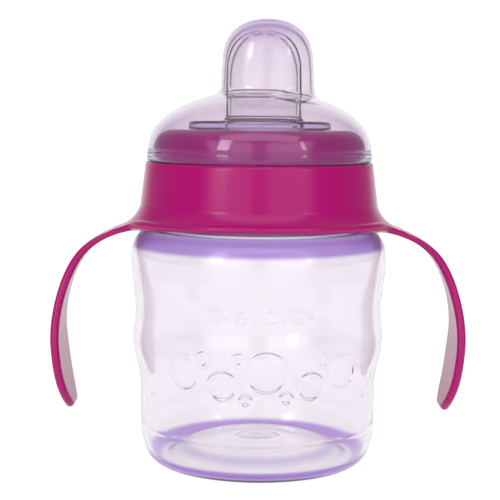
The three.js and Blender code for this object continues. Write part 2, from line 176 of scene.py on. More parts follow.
# ------------ outlines
def line(a, b, n=2):
    """n points from a to b."""
    t = np.linspace(0, 1, n)[:, None]
    return np.array(a, float) * (1 - t) + np.array(b, float) * t


def bezier(points, n):
    """n points on the curve with these control points."""
    t = np.linspace(0, 1, n)[:, None]
    p = [np.array(q, float) for q in points]
    while len(p) > 1:
        p = [a * (1 - t) + b * t for a, b in zip(p, p[1:])]
    return p[0]


def ellipse(centre, radii, start, end, n):
    """n points on an arc, from one angle in degrees to another."""
    t = np.radians(np.linspace(start, end, n))
    x, z = centre
    return np.stack([x + radii[0] * np.cos(t), z + radii[1] * np.sin(t)], 1)


SAME_POINT = 1e-4


def chain(*parts):
    """Joins outlines end to end and drops points that repeat."""
    points = [parts[0][0]]
    for part in parts:
        for q in part:
            if np.hypot(*(q - points[-1])) > SAME_POINT:
                points.append(q)
    return np.array(points)


def thickened(points, wall):
    """The same outline moved along its normals, for a wall of even thickness."""
    points = np.array(points, float)
    step = np.gradient(points, axis=0)
    step /= np.linalg.norm(step, axis=1)[:, None]
    moved = points + wall * np.stack([-step[:, 1], step[:, 0]], axis=1)
    moved[0, 0] = 0
    return moved


def smoothstep(low, high, x):
    """0 below low and 1 above high, with a smooth rise between."""
    t = np.clip((np.asarray(x, float) - low) / (high - low), 0, 1)
    return t * t * (3 - 2 * t)


# ------------ meshes
JOIN_DISTANCE = 2e-6
NO_LENGTH = 1e-7
ON_AXIS = 1e-6


def clean(mesh):
    """Joins points that coincide, drops faces of no area and turns the faces outwards."""
    work = bmesh.new()
    work.from_mesh(mesh)
    bmesh.ops.remove_doubles(work, verts=work.verts, dist=JOIN_DISTANCE)
    bmesh.ops.dissolve_degenerate(work, edges=work.edges, dist=NO_LENGTH)
    bmesh.ops.recalc_face_normals(work, faces=work.faces)
    if work.calc_volume(signed=True) < 0:
        bmesh.ops.reverse_faces(work, faces=work.faces)
    work.to_mesh(mesh)
    work.free()


def add_object(name, data):
    obj = bpy.data.objects.new(name, data)
    bpy.context.scene.collection.objects.link(obj)
    return obj


def make_mesh(name, points, faces):
    """A smooth closed mesh with its faces pointing out, from points in millimetres."""
    points = np.asarray(points, float) * MM
    mesh = bpy.data.meshes.new(name)
    mesh.from_pydata(points.tolist(), [], faces)
    mesh.validate()
    clean(mesh)
    mesh.shade_smooth()
    return add_object(name, mesh)


def skin(name, rings, loop=False):
    """Joins rings of points, each closed on itself. A ring of one point is a pole."""
    points, starts = [], []
    for ring in rings:
        starts.append(len(points))
        points.extend(ring)
    pairs = [(k, k + 1) for k in range(len(rings) - 1)]
    if loop:
        pairs.append((len(rings) - 1, 0))
    faces = []
    for a, b in pairs:
        n = max(len(rings[a]), len(rings[b]))
        for i in range(n):
            j = (i + 1) % n
            quad = [starts[a] + i, starts[a] + j, starts[b] + j, starts[b] + i]
            if len(rings[a]) == 1:
                quad = [starts[a], starts[b] + j, starts[b] + i]
            elif len(rings[b]) == 1:
                quad = [starts[a] + i, starts[a] + j, starts[b]]
            faces.append(quad)
    return make_mesh(name, points, faces)


def circle_angles(n):
    """n even angles round the axis."""
    return np.linspace(0, 2 * math.pi, n, endpoint=False)


def ring_at(angles, r, z):
    """Points round the axis at height z. r is one radius, or one for each angle."""
    return np.column_stack([r * np.cos(angles), r * np.sin(angles), np.full(len(angles), z)])


def turned(name, outline, angles, lift=None):
    """Turns an outline of (radius, height) about Z.

    lift(angles, radius, height, index) is what it adds to the radius.
    """
    rings = []
    for k, (r, z) in enumerate(outline):
        if r < ON_AXIS:
            rings.append(np.array([[0.0, 0.0, z]]))
            continue
        rings.append(ring_at(angles, r if lift is None else r + lift(angles, r, z, k), z))
    closed_on_axis = outline[0][0] < ON_AXIS and outline[-1][0] < ON_AXIS
    return skin(name, rings, loop=not closed_on_axis)


THREAD_RUN_IN = 0.04


def thread_height(angles, z, wall_r, helix_r, start_z, turns, inward=False):
    """How far the round two-start ridge stands off a wall at this height."""
    height = np.zeros(len(angles))
    for start in range(THREAD_STARTS):
        for whole in range(-1, 3):
            turn = angles / (2 * math.pi) - start / THREAD_STARTS + whole
            ends = smoothstep(0, THREAD_RUN_IN, turn)
            ends = ends * (1 - smoothstep(turns - THREAD_RUN_IN, turns, turn))
            dz = z - (start_z + turn * THREAD_LEAD)
            reach = np.sqrt(np.maximum(THREAD_R ** 2 - dz ** 2, 0))
            stand = (wall_r - helix_r + reach) if inward else (helix_r - wall_r + reach)
            height = np.maximum(height, np.where(reach > 0, stand, 0) * ends)
    return -height if inward else height


# ------------ relief on the cup's front
RELIEF_HEIGHT = 0.5
RELIEF_LOW_Z = 18
RELIEF_HIGH_Z = 54
RELIEF_HALF_ANGLE = math.radians(48)
STROKE = 0.8
BUBBLES = [  # place across and height of the centre, then radius
    (-21.4, 30.5, 5.0), (-9.8, 27.4, 4.0), (2.2, 31.4, 5.6), (14.6, 27.2, 3.8), (25.0, 30.6, 4.8),
    (-15.4, 34.8, 1.8), (-5.4, 35.2, 1.4), (7.6, 24.2, 1.5), (19.4, 34.6, 1.9), (-3.4, 23.6, 1.3),
]
BEAD_X = 1.0
BEAD_Z = 47.3
BEAD_GAP = 3.9
BEADS = 8
BEAD_R = 1.65
BEAD_FLAT_R = 0.4
BEAD_STROKE = 0.55
FADE_FROM = 14
FADE_TO = 26


def ridge(distance, stroke=STROKE):
    """A rounded raised line along distance 0."""
    return RELIEF_HEIGHT * (1 - smoothstep(stroke * 0.3, stroke * 1.2, np.abs(distance)))


def relief(angles, r, z):
    """Raised bubbles below and a row of beads above, facing -Y and lower towards the sides."""
    across = (angles + math.pi / 2) * r
    height = np.zeros(len(angles))
    for x, centre_z, radius in BUBBLES:
        height = np.maximum(height, ridge(np.hypot(across - x, z - centre_z) - radius))
    for k in range(BEADS):
        x = BEAD_X + (k - (BEADS - 1) / 2) * BEAD_GAP
        distance = np.hypot(across - x, z - BEAD_Z)
        if k % 2:
            bead = RELIEF_HEIGHT * (1 - smoothstep(BEAD_FLAT_R, BEAD_R * 0.9, distance))
        else:
            bead = ridge(distance - BEAD_R, BEAD_STROKE)
        height = np.maximum(height, bead)
    return height * (1 - 0.5 * smoothstep(FADE_FROM, FADE_TO, np.abs(across)))


# ------------ cup
def upright(r0, z0, r1, z1, n):
    """A curve that is upright at both ends."""
    reach = (z1 - z0) * WALL_EASE
    return bezier([(r0, z0), (r0, z0 + reach), (r1, z1 - reach), (r1, z1)], n)


def wall_outline(inset, n):
    """The wall from just above the base to the shoulder, moved in by inset."""
    return chain(
        line((BASE_R - inset, WALL_FOOT_Z), (BASE_R - inset, STRAIGHT_Z), n // 2),
        upright(BASE_R - inset, STRAIGHT_Z, BULGE_R - inset, BULGE_Z, n),
        upright(BULGE_R - inset, BULGE_Z, WAIST_R - inset, WAIST_Z, n),
        upright(WAIST_R - inset, WAIST_Z, BODY_R - inset, BODY_Z, n),
    )


def base_outline():
    """The underside: a pip in the middle, a dome, the standing ring and the rounded heel."""
    pip_top = UNDERSIDE_Z + PIP_RISE
    pip_edge = (PIP_R, UNDERSIDE_Z + PIP_EDGE)
    pip_foot = (PIP_FOOT_R, UNDERSIDE_Z)
    dome_edge = (DOME_R, DOME_Z)
    return chain(
        bezier([(0, pip_top), (1.5, pip_top), (3, pip_top), pip_edge], 8),
        bezier([pip_edge, (5.6, UNDERSIDE_Z + 0.2), (6.0, UNDERSIDE_Z), pip_foot], 6),
        bezier([pip_foot, (10.5, UNDERSIDE_Z), (14.5, UNDERSIDE_Z), dome_edge], 20),
        bezier([dome_edge, (23.5, 2.4), (24.5, 0.4), (STAND_INNER_R, 0)], 16),
        line((STAND_INNER_R, 0), (STAND_OUTER_R, 0), 3),
        bezier([(STAND_OUTER_R, 0), (31.4, 0.2), (34, 3.6), (BASE_R, HEEL_Z)], 24),
    )


def cup_outline():
    """The cup's outline as outside, neck and inside, from the underside's middle to the floor's."""
    inner = BODY_R - WALL
    roof = SHOULDER_Z - ROOF_WALL
    curve_r = BODY_R - SHOULDER_RUN - ROOF_SHIFT
    base = base_outline()
    outside = chain(
        base,
        line((BASE_R, HEEL_Z), (BASE_R + SEAM, HEEL_Z + 0.3)),
        line((BASE_R + SEAM, HEEL_Z + 0.6), (BASE_R, WALL_FOOT_Z)),
        wall_outline(0, 48),
        ellipse((BODY_R - SHOULDER_RUN, BODY_Z), (SHOULDER_RUN, SHOULDER_Z - BODY_Z), 0, 90, 28),
        line((BODY_R - SHOULDER_RUN, SHOULDER_Z), (STEP_R + 0.6, SHOULDER_Z), 3),
        bezier([(STEP_R + 0.6, SHOULDER_Z), (STEP_R, SHOULDER_Z), (STEP_R, SHOULDER_Z + 0.6)], 5),
        bezier([(STEP_R, STEP_Z - 0.3), (STEP_R, STEP_Z), (STEP_R - 0.3, STEP_Z)], 4),
        line((NECK_R + 0.3, STEP_Z), (NECK_R, STEP_Z + 0.3)),
    )
    neck = line((NECK_R, STEP_Z + 0.3), (NECK_R, NECK_TOP_Z - 0.5), 84)
    step_r, step_z = STEP_R - STEP_WALL, STEP_Z - STEP_WALL
    inside = chain(
        bezier([(NECK_R, NECK_TOP_Z - 0.5), (NECK_R, NECK_TOP_Z), (NECK_R - 0.5, NECK_TOP_Z)], 6),
        bezier([(NECK_BORE_R + 0.3, NECK_TOP_Z), (NECK_BORE_R, NECK_TOP_Z),
                (NECK_BORE_R, NECK_TOP_Z - 0.3)], 4),
        line((NECK_BORE_R, NECK_TOP_Z - 0.3), (NECK_BORE_R, STEP_Z - 0.2), 12),
        bezier([(NECK_BORE_R, STEP_Z - 0.2), (NECK_BORE_R, step_z), (NECK_BORE_R + 1.2, step_z),
                (step_r, step_z), (step_r, SHOULDER_Z + 0.6)], 12),
        bezier([(step_r, SHOULDER_Z + 0.6), (step_r, roof), (curve_r, roof)], 8),
        ellipse((curve_r, BODY_Z), (inner - curve_r, roof - BODY_Z), 90, 0, 32),
        wall_outline(WALL, 24)[::-1],
        thickened(base, WALL)[::-1],
    )
    return outside, neck, inside


def relief_angles():
    """Columns a third of a millimetre apart on the front, and wider apart round the rest."""
    half = RELIEF_HALF_ANGLE
    front = np.linspace(-half, half, 190) - math.pi / 2
    rest = np.linspace(half, 2 * math.pi - half, 110)[1:-1] - math.pi / 2
    return np.concatenate([front, rest])


def make_cup():
    outside, neck, inside = cup_outline()
    outline = chain(outside, neck, inside)
    first_inside = len(chain(outside, neck))

    def lift(angles, r, z, k):
        if k >= first_inside:
            return np.zeros(len(angles))
        if z > STEP_Z + 0.1:
            return thread_height(angles % (2 * math.pi), z, NECK_R, NECK_THREAD_R,
                                 NECK_THREAD_Z, NECK_THREAD_TURNS)
        if RELIEF_LOW_Z < z < RELIEF_HIGH_Z:
            return relief(angles, r, z)
        return np.zeros(len(angles))

    return turned("cup", outline, relief_angles(), lift)


# ------------ handle collar
ARCH = [  # the outer face of the lip and arm, from the middle to the tip
    (0, 70.8), (20, 70.5), (31, 69.7), (39.5, 68.1), (46.5, 65.4), (52.2, 61), (56.2, 54.5),
    (58.7, 46.5), (59.7, 38.5), (59.2, 30.5), (57.9, 22.5), (55.6, 14.6),
]
ARCH_SAMPLES = 900
ARCH_OUTWARD = 500  # the samples along which the arch only moves outwards
ARM_ROOT_X = 42.0
THIN = 1.4
THICK = 2.5
THICKEN_FROM = 0.36
THICKEN_TO = 0.62
ARM_COLUMNS = 33
ARM_ROWS = 96
SIDE_COLUMNS = 66
RIM_ROWS = 9
PADDLE_HALF = 11.2
PADDLE_Z = 30.0
PADDLE_POWER = 2.3
ARM_HEIGHTS = [PADDLE_Z, 34, 39, 46, 52, 56, 60, 64, 66.5, 68]
ARM_HALF_WIDTHS = [PADDLE_HALF, 10.8, 9.4, 7.4, 6.0, 5.5, 5.5, 6.1, 7.0, 7.9]
STEEPEST_TAPER = -40.0
SLOPE_STEP = 0.05
LIP_EASE = 1.7
SIDE_EASE = 0.7
TIP_EASE = 0.9
FLARE = bezier([(44, 66.6), (39.5, 68.2), (36.4, 69.6), (COLLAR_LOW_R, COLLAR_LOW_Z)], 200)
FLARE_R = 44.0
FLARE_FADE = 1.5
FLARE_BLEND = 1.3
ROOT_FADE = math.radians(3.4)
COLLAR_EDGE = 0.4
UNDER_INNER_R = 32.4


def spline_through(points, n):
    """A smooth curve through the points, sampled evenly: positions, headings and lengths."""
    p = np.array(points, float)
    p = np.vstack([[-p[1][0], p[1][1]], p, 2 * p[-1] - p[-2]])
    fine = []
    for a, b, c, d in zip(p, p[1:], p[2:], p[3:]):
        t = np.linspace(0, 1, 60, endpoint=False)[:, None]
        fine.append(0.5 * (2 * b + (c - a) * t + (2 * a - 5 * b + 4 * c - d) * t ** 2
                           + (3 * b - a - 3 * c + d) * t ** 3))
    fine = np.vstack([*fine, [points[-1]]])
    for _ in range(40):
        fine[1:-1] = (fine[:-2] + 2 * fine[1:-1] + fine[2:]) / 4
    length = np.concatenate([[0], np.cumsum(np.hypot(*np.diff(fine, axis=0).T))])
    even = np.linspace(0, length[-1], n)
    x = np.interp(even, length, fine[:, 0])
    z = np.interp(even, length, fine[:, 1])
    heading = np.stack([np.gradient(x), np.gradient(z)], 1)
    heading /= np.hypot(*heading.T)[:, None]
    return np.stack([x, z], 1), heading, even


ARCH_POINTS, ARCH_HEADINGS, ARCH_LENGTHS = spline_through(ARCH, ARCH_SAMPLES)
ARCH_TOTAL = ARCH_LENGTHS[-1]


def arch_at(length):
    """Point, heading and outward normal of the arch's outer face, at a length from its middle."""
    point = [np.interp(length, ARCH_LENGTHS, ARCH_POINTS[:, i]) for i in (0, 1)]
    heading = [np.interp(length, ARCH_LENGTHS, ARCH_HEADINGS[:, i]) for i in (0, 1)]
    return point, heading, (-heading[1], heading[0])


def arch_length(x):
    """Length along the arch at a distance x from the axis, as far as the arms' widest point."""
    return np.interp(x, ARCH_POINTS[:ARCH_OUTWARD, 0], ARCH_LENGTHS[:ARCH_OUTWARD])


ARM_ROOT = float(arch_length(ARM_ROOT_X))


def thickness(length):
    """The lip is thin, and the arms grow thicker on the way to the paddles."""
    return THIN + (THICK - THIN) * float(smoothstep(THICKEN_FROM, THICKEN_TO, length / ARCH_TOTAL))


def arm_half_width(length):
    """Half the arm's width, from the root through the narrow part to the paddle's round tip."""
    z = arch_at(length)[0][1]
    if z > PADDLE_Z:
        return float(cubic_keys(ARM_HEIGHTS, ARM_HALF_WIDTHS, z))
    t = (PADDLE_Z - z) / (PADDLE_Z - TIP_Z)
    return PADDLE_HALF * math.sqrt(max(1 - t ** PADDLE_POWER, 0))


def cubic_keys(xs, ys, x):
    """A smooth cubic curve through the keys."""
    xs = np.array(xs, float)
    ys = np.array(ys, float)
    slopes = np.gradient(ys, xs)
    i = int(np.clip(np.searchsorted(xs, x) - 1, 0, len(xs) - 2))
    h = xs[i + 1] - xs[i]
    t = np.clip((x - xs[i]) / h, 0, 1)
    a = 2 * t ** 3 - 3 * t ** 2 + 1
    b = t ** 3 - 2 * t ** 2 + t
    c = -2 * t ** 3 + 3 * t ** 2
    d = t ** 3 - t ** 2
    return a * ys[i] + b * h * slopes[i] + c * ys[i + 1] + d * h * slopes[i + 1]


def lip_reach(angle, root_angle):
    """Distance from the axis to the middle of the lip's rounded edge, seen from above."""
    lip = LIP_R - THIN / 2
    off = abs(((angle + math.pi / 2) % math.pi) - math.pi / 2)
    if off <= root_angle:
        return ARM_ROOT_X / math.cos(off)
    corner = ARM_ROOT_X / math.cos(root_angle)
    return lip + (corner - lip) * math.exp(-((off - root_angle) / ROOT_FADE))


def flare_z(r):
    """Height of the curve that carries the cone out into the lip."""
    return float(np.interp(r, FLARE[::-1, 0], FLARE[::-1, 1]))


def soft_max(a, b, width):
    """The larger of two heights, rounded where they cross."""
    near = max(width - abs(a - b), 0) / width
    return max(a, b) + near * near * width / 4


def cone_r(z):
    """Radius of the collar's outer face at a height."""
    share = (z - COLLAR_LOW_Z) / (COLLAR_TOP_Z - COLLAR_LOW_Z)
    return COLLAR_LOW_R + (COLLAR_TOP_R - COLLAR_LOW_R) * share


def collar_meridian(angle, reach):
    """One cut through the collar, as two rows of points.

    The first goes down the cone and over the lip, the second back under it and up the bore.
    """
    c, s = math.cos(angle), math.sin(angle)
    away = abs(c)

    def top_z(r):
        arch = float(arch_at(arch_length(r * away))[0][1])
        fade = float(smoothstep(0, FLARE_FADE, FLARE_R - r))
        return arch + (soft_max(arch, flare_z(r), FLARE_BLEND) - arch) * fade

    edge = COLLAR_EDGE
    side = chain(
        ellipse((cone_r(COLLAR_TOP_Z) - edge, COLLAR_TOP_Z - edge), (edge, edge), 90, 8, 6),
        line((cone_r(COLLAR_TOP_Z - edge), COLLAR_TOP_Z - edge), (COLLAR_LOW_R, COLLAR_LOW_Z), 16),
    )
    rows = [(r * c, r * s, z) for r, z in side]
    for t in np.linspace(0, 1, 26)[1:]:
        r = COLLAR_LOW_R + (reach - COLLAR_LOW_R) * t ** LIP_EASE
        rows.append((r * c, r * s, top_z(r)))
    under = []
    for r in np.linspace(reach, UNDER_INNER_R, 9):
        length = arch_length(r * away)
        (_x, z), _heading, (nx, nz) = arch_at(length)
        t = thickness(length)
        under.append((r * c - math.copysign(t * nx, c), r * s, z - t * nz))
    bore_low = cone_r(LEDGE_TOP_Z) - COLLAR_WALL
    bore_top = cone_r(COLLAR_TOP_Z) - COLLAR_WALL
    bore = chain(
        line((UNDER_INNER_R - 0.2, LEDGE_Z), (LEDGE_R + 0.2, LEDGE_Z), 5),
        bezier([(LEDGE_R + 0.2, LEDGE_Z), (LEDGE_R, LEDGE_Z), (LEDGE_R, LEDGE_Z + 0.2)], 4),
        bezier([(LEDGE_R, LEDGE_TOP_Z - 0.2), (LEDGE_R, LEDGE_TOP_Z),
                (LEDGE_R + 0.2, LEDGE_TOP_Z)], 4),
        line((LEDGE_R + 0.2, LEDGE_TOP_Z), (bore_low - 0.3, LEDGE_TOP_Z), 5),
        line((bore_low, LEDGE_TOP_Z + 0.3), (bore_top, COLLAR_TOP_Z - 0.2), 12),
        line((bore_top, COLLAR_TOP_Z - 0.2), (bore_top + 0.2, COLLAR_TOP_Z)),
    )
    return rows, under + [(r * c, r * s, z) for r, z in bore]


def collar_angles():
    """Angles of the collar's columns, the arm root's half angle, and the columns in each arm."""
    half = arm_half_width(ARM_ROOT) - thickness(ARM_ROOT) / 2
    root_angle = math.atan2(half, ARM_ROOT_X)
    across = np.linspace(-1, 1, ARM_COLUMNS)
    arm = np.arctan2(across * half, ARM_ROOT_X)
    ease = np.linspace(0, 1, SIDE_COLUMNS + 2)
    ease = ease - SIDE_EASE * np.sin(2 * math.pi * ease) / (2 * math.pi)
    side = root_angle + (math.pi - 2 * root_angle) * ease[1:-1]
    angles = np.concatenate([arm, side, arm + math.pi, side + math.pi])
    right = list(range(ARM_COLUMNS))
    left = [ARM_COLUMNS + SIDE_COLUMNS + i for i in range(ARM_COLUMNS)]
    return angles, root_angle, right, left


def rim_points(middle, out, normal, radius):
    """Half circle from the top face round to the underside."""
    points = []
    for k in range(1, RIM_ROWS):
        a = math.pi / 2 - math.pi * k / RIM_ROWS
        points.append(middle + out * radius * math.cos(a) + normal * radius * math.sin(a))
    return points


def make_collar():
    angles, root_angle, right, left = collar_angles()
    count = len(angles)
    points, faces = [], []

    def add(p):
        points.append(tuple(p))
        return len(points) - 1

    tops, unders = [], []
    for angle in angles:
        top, under = collar_meridian(angle, lip_reach(angle, root_angle))
        tops.append([add(p) for p in top])
        unders.append([add(p) for p in under])

    def strip(a, b):
        """Faces between two rows of points."""
        for i in range(len(a) - 1):
            faces.append((a[i], a[i + 1], b[i + 1], b[i]))

    for i in range(count):
        j = (i + 1) % count
        strip(tops[i], tops[j])
        strip(unders[i], unders[j])
        faces.append((unders[i][-1], tops[i][0], tops[j][0], unders[j][-1]))

    # rounded lip between the arms
    rims = {}
    for i in range(count):
        if i in right[1:-1] or i in left[1:-1]:
            continue
        top = np.array(points[tops[i][-1]])
        under = np.array(points[unders[i][0]])
        before = np.array(points[tops[(i - 1) % count][-1]])
        after = np.array(points[tops[(i + 1) % count][-1]])
        if i in (right[0], left[0]):
            after = top
        if i in (right[-1], left[-1]):
            before = top
        along = after - before
        along /= np.linalg.norm(along)
        normal = (top - under) / np.linalg.norm(top - under)
        out = np.cross(along, normal)
        if i in (right[0], right[-1], left[0], left[-1]):
            out = np.array([0, math.copysign(1, top[1]), 0])
        middle = (top + under) / 2
        ring = [add(p) for p in rim_points(middle, out, normal, np.linalg.norm(top - under) / 2)]
        rims[i] = [tops[i][-1], *ring, unders[i][0]]
    for i in range(count):
        j = (i + 1) % count
        if i in rims and j in rims:
            strip(rims[i], rims[j])

    # arms
    for columns, sign in ((right, 1), (left, -1)):
        make_arm(add, strip, columns, sign, tops, unders, rims)
    return make_mesh("collar", points, faces)


def make_arm(add, strip, columns, sign, tops, unders, rims):
    """Carries the collar's lip on from the root to the tip of one arm."""
    last = ARCH_TOTAL - THICK / 2
    t = np.linspace(0, 1, ARM_ROWS + 1)[1:]
    steps = ARM_ROOT + (last - ARM_ROOT) * np.sin(t * math.pi / 2) ** TIP_EASE
    across = np.linspace(-1, 1, len(columns)) * sign
    top_row = [tops[i][-1] for i in columns]
    under_row = [unders[i][0] for i in columns]
    first_rim = rims[columns[0]]
    last_rim = rims[columns[-1]]

    def half_at(length):
        return max(arm_half_width(length) - thickness(length) / 2, 0.0)

    for length in steps:
        (x, z), (hx, hz), (nx, nz) = arch_at(length)
        t_here = thickness(length)
        heading = np.array([sign * hx, 0, hz])
        normal = np.array([sign * nx, 0, nz])
        outer = np.array([sign * x, 0, z])
        half = half_at(length) if length < last - 1e-6 else 0.0
        new_top = [add(outer + np.array([0, v * half, 0])) for v in across]
        new_under = [add(outer - normal * t_here + np.array([0, v * half, 0])) for v in across]
        slope = half_at(min(length + SLOPE_STEP, last)) - half_at(length - SLOPE_STEP)
        slope /= 2 * SLOPE_STEP
        new_rims = []
        for v in (across[0], across[-1]):
            out = heading
            if half > 0:
                out = np.array([0, math.copysign(1, v), 0]) - heading * max(slope, STEEPEST_TAPER)
                out /= np.linalg.norm(out)
            middle = outer - normal * t_here / 2 + np.array([0, v * half, 0])
            new_rims.append([add(p) for p in rim_points(middle, out, normal, t_here / 2)])
        row_first = [new_top[0], *new_rims[0], new_under[0]]
        row_last = [new_top[-1], *new_rims[1], new_under[-1]]
        strip(top_row, new_top)
        strip(under_row, new_under)
        strip(first_rim, row_first)
        strip(last_rim, row_last)
        top_row, under_row, first_rim, last_rim = new_top, new_under, row_first, row_last


# ------------ screw ring
def make_ring():
    bottom, top, under = RING_BOTTOM_Z, RING_TOP_Z, RING_TOP_Z - RING_PLATE
    shoulder = RING_TOP_Z - RING_SHOULDER
    outside = chain(
        line((RING_BORE_R + 0.3, bottom), (RING_LOW_R - 0.3, bottom), 3),
        bezier([(RING_LOW_R - 0.3, bottom), (RING_LOW_R, bottom), (RING_LOW_R, bottom + 0.3)], 4),
        line((RING_LOW_R, bottom + 0.3), (RING_HIGH_R, shoulder), 20),
        bezier([(RING_HIGH_R, shoulder), (RING_HIGH_R - 0.3, top - 1.6), (RING_HIGH_R - 3, top),
                (RING_FLAT_R, top)], 24),
        line((RING_FLAT_R, top), (RING_OPENING_R + 0.4, top), 8),
        bezier([(RING_OPENING_R + 0.4, top), (RING_OPENING_R, top),
                (RING_OPENING_R, top - 0.4)], 5),
        line((RING_OPENING_R, top - 0.4), (RING_OPENING_R, under), 3),
        line((RING_OPENING_R, under), (RING_BORE_R - 2, under), 6),
        bezier([(RING_BORE_R - 2, under), (RING_BORE_R, under), (RING_BORE_R, shoulder)], 8),
    )
    bore = line((RING_BORE_R, shoulder), (RING_BORE_R, bottom + 0.3), 72)
    first_bore = len(outside)

    def lift(angles, _r, z, k):
        if k < first_bore:
            return np.zeros(len(angles))
        return thread_height(angles, z, RING_BORE_R, RING_THREAD_R, RING_THREAD_Z,
                             RING_THREAD_TURNS, inward=True)

    return turned("ring", chain(outside, bore), circle_angles(180), lift)


# ------------ oval tower on a round base
FILLET_ROWS = 8


def tower_rows(angles, x, half_x, half_y, taper, top, dome, fillet, reach, rows):
    """Rings of an oval tower that flows through a fillet into a round surface of height dome(r).

    taper gives the oval's scale and its share of the height, from the top down.
    """
    unit = np.stack([np.cos(angles), np.sin(angles)], 1)

    def oval(scale):
        return np.stack([x + half_x * scale * unit[:, 0], half_y * scale * unit[:, 1]], 1)

    foot = oval(1.0)
    outward = np.stack([unit[:, 0] / half_x, unit[:, 1] / half_y], 1)
    outward /= np.hypot(*outward.T)[:, None]
    wall_z = dome(np.hypot(*foot.T)) + fillet
    rings = [np.array([[x, 0.0, top]])]
    for scale, share in taper:
        plan = oval(scale)
        rings.append(np.column_stack([plan, wall_z + (top - wall_z) * share]))
    for k in range(1, FILLET_ROWS + 1):
        a = math.pi / 2 * k / FILLET_ROWS
        plan = foot + outward * fillet * (1 - math.cos(a))
        rings.append(np.column_stack([plan, dome(np.hypot(*plan.T)) + fillet * (1 - math.sin(a))]))
    start = foot + outward * fillet
    goal = unit * reach
    for t in np.linspace(0, 1, rows + 1)[1:]:
        plan = start * (1 - t) + goal * t
        rings.append(np.column_stack([plan, dome(np.hypot(*plan.T))]))
    return rings


# ------------ spout
def disc_z(r):
    return np.full(np.shape(r), DISC_TOP_Z)


def make_spout():
    angles = circle_angles(128)
    taper = chain(
        bezier([(0, 1), (0.66, 1), (0.985, 0.80), (0.99, 0.50)], 22),
        line((0.99, 0.50), (1.0, 0.10), 8),
        line((1.0, 0.10), (1.0, 0), 3),
    )[1:]
    outer = tower_rows(angles, SPOUT_X, SPOUT_HALF_X, SPOUT_HALF_Y, taper, SPOUT_TOP_Z, disc_z,
                       SPOUT_FILLET, DISC_FLAT_R, 5)
    groove = RING_OPENING_R - 0.4
    disc_under = RING_TOP_Z + GAP
    flange_top = RING_TOP_Z - RING_PLATE - GAP
    disc_edge = chain(
        line((DISC_FLAT_R, DISC_TOP_Z), (DISC_R - DISC_ROUND, DISC_TOP_Z)),
        bezier([(DISC_R - DISC_ROUND, DISC_TOP_Z), (DISC_R, DISC_TOP_Z),
                (DISC_R, DISC_TOP_Z - DISC_ROUND)], 7),
        bezier([(DISC_R, disc_under + 0.5), (DISC_R, disc_under), (DISC_R - 0.5, disc_under)], 4),
        line((DISC_R - 0.5, disc_under), (groove + 0.2, disc_under)),
        line((groove, disc_under - 0.2), (groove, flange_top + 0.2), 3),
        line((groove + 0.2, flange_top), (FLANGE_R - 0.3, flange_top), 4),
        bezier([(FLANGE_R - 0.3, flange_top), (FLANGE_R, flange_top),
                (FLANGE_R, flange_top - 0.3)], 4),
        bezier([(FLANGE_R, FLANGE_Z + 0.3), (FLANGE_R, FLANGE_Z), (FLANGE_R - 0.3, FLANGE_Z)], 4),
        line((FLANGE_R - 0.3, FLANGE_Z), (VALVE_R + GAP, FLANGE_Z), 8),
        line((VALVE_R + GAP, FLANGE_Z), (VALVE_R + GAP, VALVE_TOP_Z + GAP), 5),
    )[1:]
    edge = [ring_at(angles, r, z) for r, z in disc_edge]
    a = SPOUT_HALF_X - SPOUT_WALL
    b = SPOUT_HALF_Y - SPOUT_WALL
    inner_top = SPOUT_TOP_Z - SPOUT_WALL
    inner_base = VALVE_TOP_Z + 0.9
    inner = []
    for scale, share in taper[::-1]:
        z = inner_base + (inner_top - inner_base) * share
        inner.append(np.column_stack([SPOUT_X + a * scale * np.cos(angles),
                                      b * scale * np.sin(angles), np.full(len(angles), z)]))
    inner.append(np.array([[SPOUT_X, 0.0, inner_top]]))
    spout = skin("spout_soft", outer + edge + inner)
    for step in (-1, 0, 1):
        cut_slot(spout, SPOUT_X + step * SLOT_PITCH)
    clean(spout.data)
    spout.data.set_sharp_from_angle(angle=SHARP_ANGLE)
    return spout


def cut_slot(spout, x):
    """Cuts one oval drinking slot down through the spout's top."""
    angles = circle_angles(32)
    low, high = SPOUT_TOP_Z - SLOT_DEPTH, SPOUT_TOP_Z + 1
    plan_x, plan_y = x + SLOT_HALF_X * np.cos(angles), SLOT_HALF_Y * np.sin(angles)
    ovals = [np.column_stack([plan_x, plan_y, np.full(len(angles), z)]) for z in (low, high)]
    tool = skin("slot_tool", [np.array([[x, 0.0, low]]), *ovals, np.array([[x, 0.0, high]])])
    cut = spout.modifiers.new("slot", "BOOLEAN")
    cut.operation = "DIFFERENCE"
    cut.solver = "EXACT"
    cut.object = tool
    bpy.context.view_layer.update()
    evaluated = spout.evaluated_get(bpy.context.evaluated_depsgraph_get())
    cut_mesh = bpy.data.meshes.new_from_object(evaluated)
    spout.modifiers.remove(cut)
    spout.data = cut_mesh
    bpy.data.objects.remove(tool)


